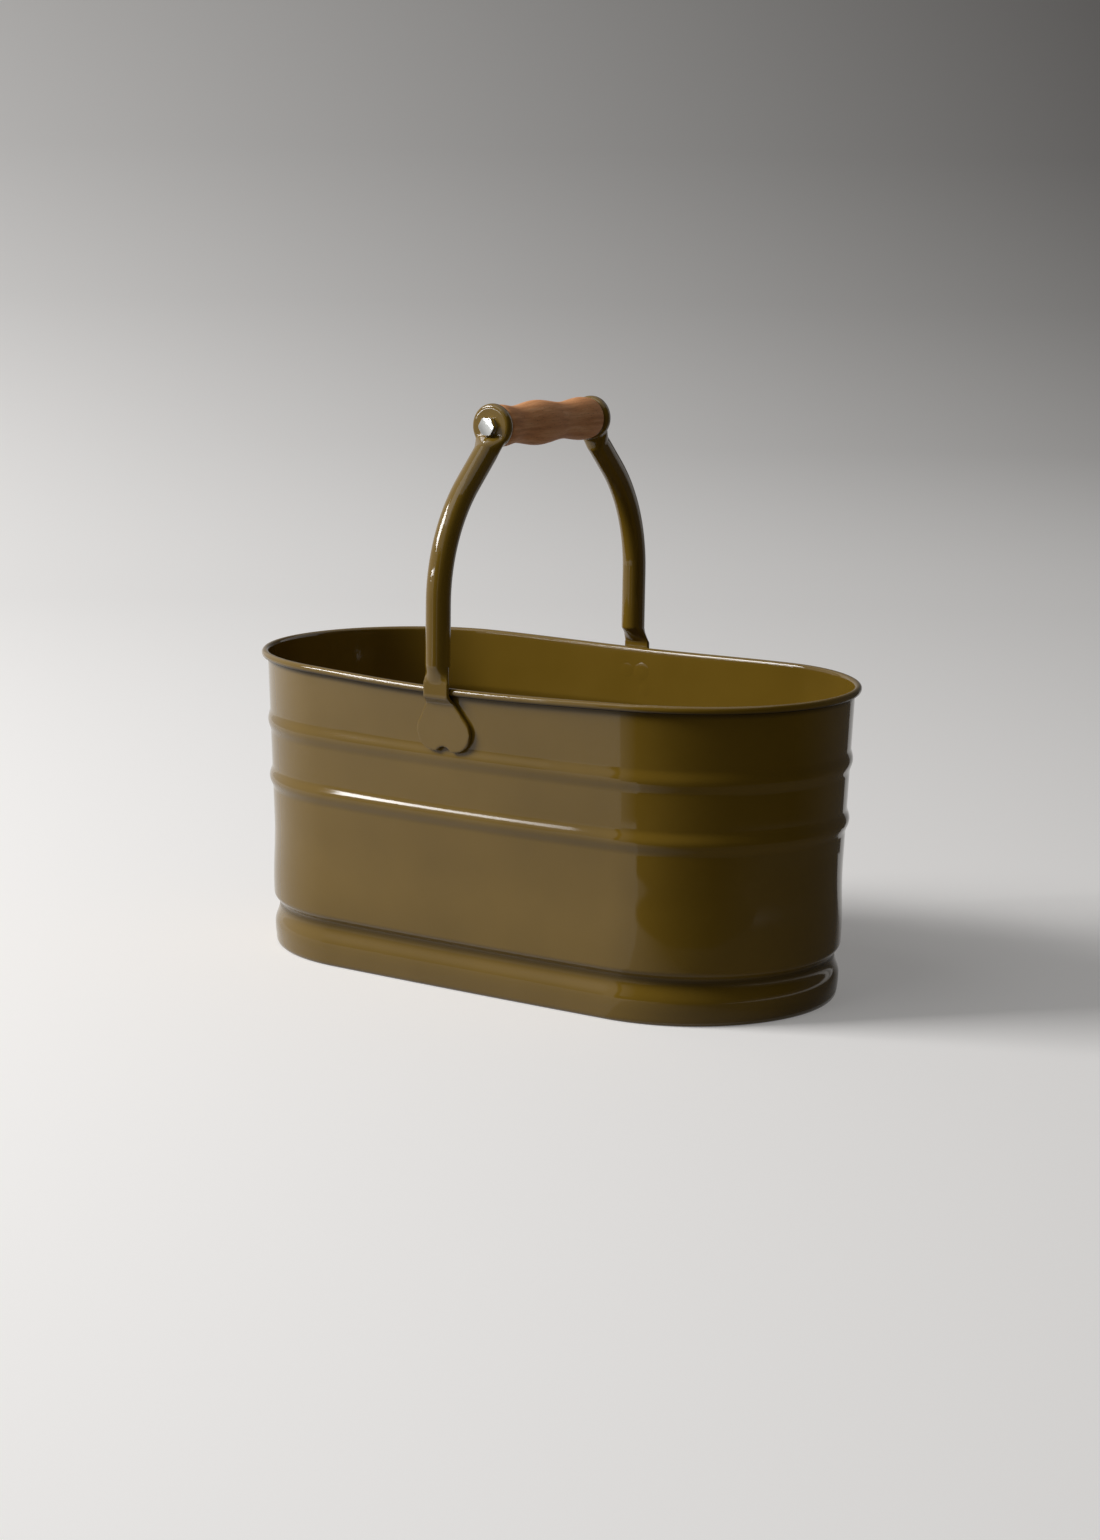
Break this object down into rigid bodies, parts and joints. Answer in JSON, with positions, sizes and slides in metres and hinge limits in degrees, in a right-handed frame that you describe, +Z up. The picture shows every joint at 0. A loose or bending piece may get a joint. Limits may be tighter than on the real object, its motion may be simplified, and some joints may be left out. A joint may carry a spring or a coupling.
{
  "type": "garden trug",
  "caption": "Oval painted steel garden trug with pressed ribs, a wired rolled rim and a welded bow handle that carries a turning wooden grip.",
  "frame": {"origin": "on the floor at the middle of the tub's foot; the handle stands 9.8 mm to -X of it", "axes": "+Z up; +X along the tub's long axis; +Y along the grip, from the bolt's head to its nut"},
  "size_m": [0.4, 0.2264, 0.3481],
  "materials": {
    "paint": "gloss olive-brown enamel on pressed sheet steel",
    "steel_wire": "drawn steel wire, hidden in the rolled rim",
    "beech": "turned and oiled beech",
    "zinc": "bright zinc-plated steel",
    "nylon": "natural nylon"
  },
  "bodies": {
    "tub": {"tub_wall": "paint", "rim_wire": "steel_wire", "base_panel": "paint", "front_arm": "paint", "back_arm": "paint", "grip_bolt": "zinc", "grip_nut": "zinc", "nut_lock_ring": "nylon"},
    "grip": {"grip": "beech"}
  },
  "joints": [
    {"name": "grip_spin", "type": "hinge", "parent": "tub", "child": "grip", "pos_m": [-0.0098, 0, 0.3346], "axis": [0, 1, 0], "continuous": true}
  ]
}
